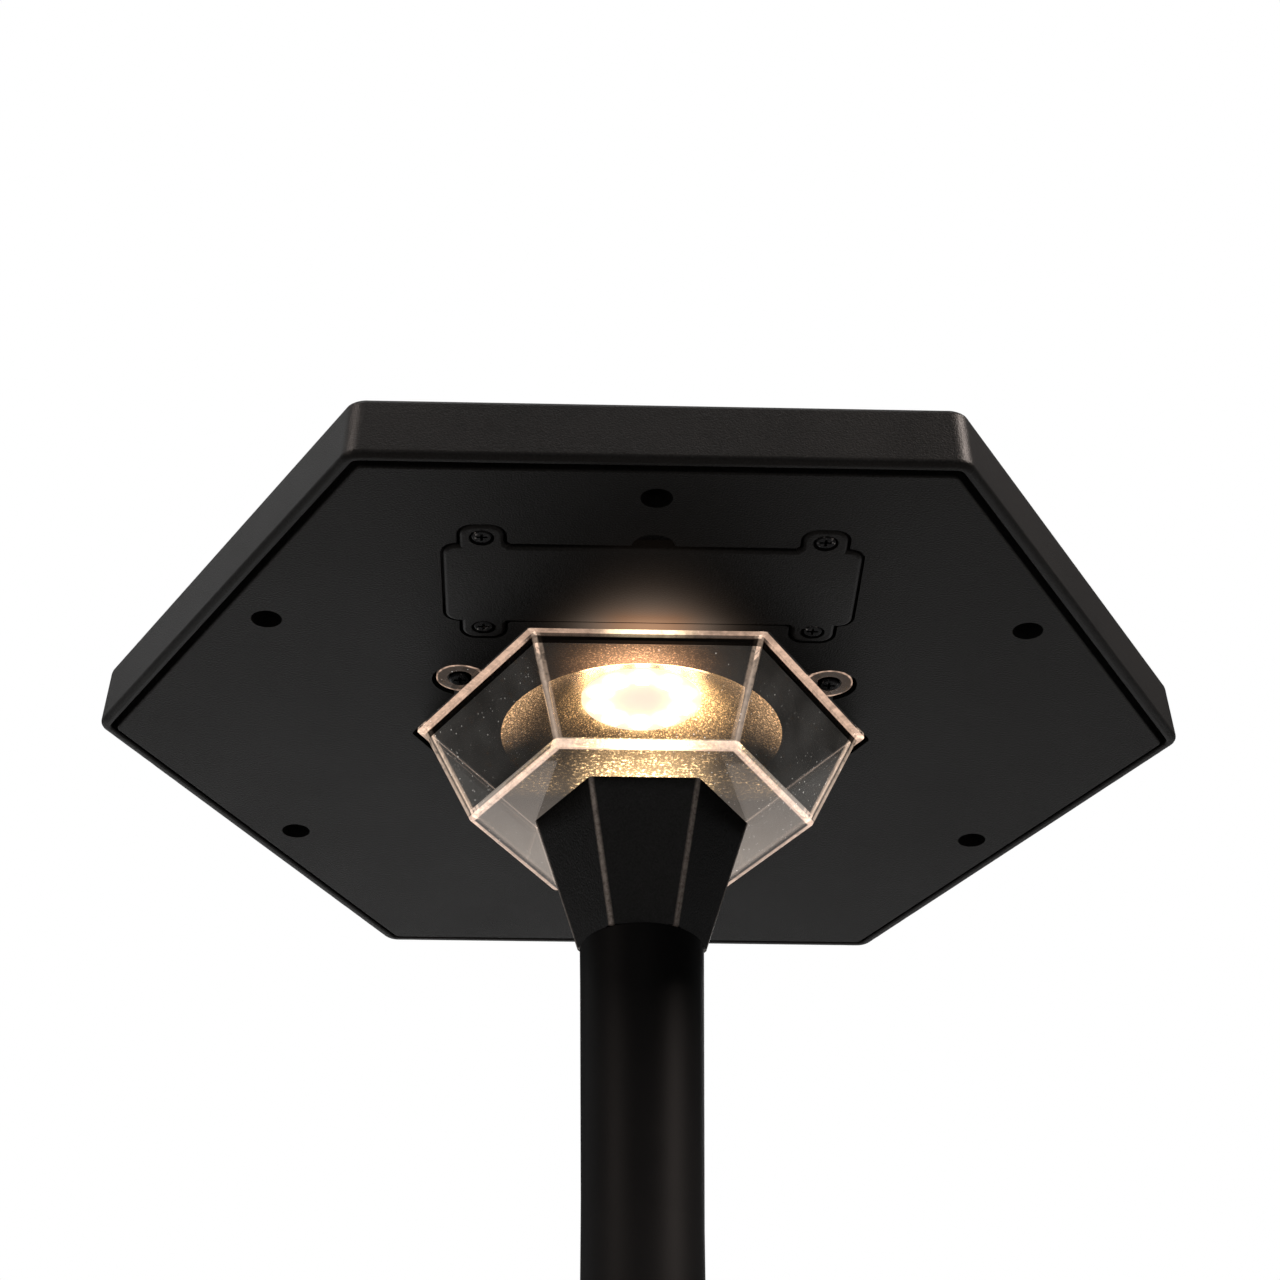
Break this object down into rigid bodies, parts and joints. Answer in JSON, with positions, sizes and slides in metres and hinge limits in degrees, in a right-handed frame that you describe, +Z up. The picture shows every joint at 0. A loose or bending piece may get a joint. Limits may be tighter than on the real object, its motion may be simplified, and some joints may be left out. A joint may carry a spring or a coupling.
{
  "type": "solar path light",
  "caption": "Solar garden path light: hexagonal head with a solar top, a clear faceted lens under it, a round pole and a ground spike.",
  "frame": {"origin": "on the axis of the pole, at the top of the spike's blades, where the light stands in the soil", "axes": "+Z up along the pole; the head's flats face +Y and -Y, its corners +X and -X, and the battery lid is on the -Y side"},
  "size_m": [0.2294, 0.1998, 0.6169],
  "materials": {
    "black_plastic": "fine textured",
    "black_metal": "satin",
    "clear_plastic": "clear",
    "panel_glass": "clear",
    "solar_cell": "glossy",
    "panel_board": "matte",
    "seal_rubber": "matte",
    "screw_steel": "plated",
    "cell_sleeve": "sleeved",
    "contact_metal": "bright",
    "circuit_board": "satin",
    "component_plastic": "matte",
    "led_board": "satin",
    "led": "glossy",
    "bush_plastic": "matte",
    "wire_red": "satin"
  },
  "bodies": {
    "stake": {"ground_stake": "black_plastic"},
    "pole": {"pole": "black_metal"},
    "bush": {"pole_bush": "bush_plastic"},
    "head": {"top_housing": "black_plastic", "panel_glass": "panel_glass", "solar_cells": "solar_cell", "panel_board": "panel_board", "bottom_cover": "black_plastic", "cover_seal": "seal_rubber", "cover_screws": "screw_steel", "battery_seal": "seal_rubber", "battery_cell": "cell_sleeve", "battery_contacts": "contact_metal", "control_board": "circuit_board", "board_components": "component_plastic", "board_screws": "screw_steel", "led_board": "led_board", "leds": "led", "led_board_screws": "screw_steel", "lens": "clear_plastic", "lens_seal": "seal_rubber", "lens_screws": "screw_steel", "neck": "black_plastic", "neck_screws": "screw_steel", "solar_wires": "wire_red", "battery_wires": "wire_red", "led_wires": "wire_red"},
    "battery_lid": {"battery_cover": "black_plastic", "battery_cover_screws": "screw_steel"}
  },
  "joints": [
    {"name": "pole_lift", "type": "slide", "parent": "stake", "child": "pole", "axis": [0, 0, 1], "range_m": [0, 0.045]},
    {"name": "head_turn", "type": "hinge", "parent": "pole", "child": "bush", "pos_m": [0, 0, 0.388], "axis": [0, 0, 1], "continuous": true},
    {"name": "head_lift", "type": "slide", "parent": "bush", "child": "head", "axis": [0, 0, 1], "range_m": [0, 0.04]},
    {"name": "battery_cover_drop", "type": "slide", "parent": "head", "child": "battery_lid", "axis": [0, 0, -1], "range_m": [0, 0.02]}
  ]
}
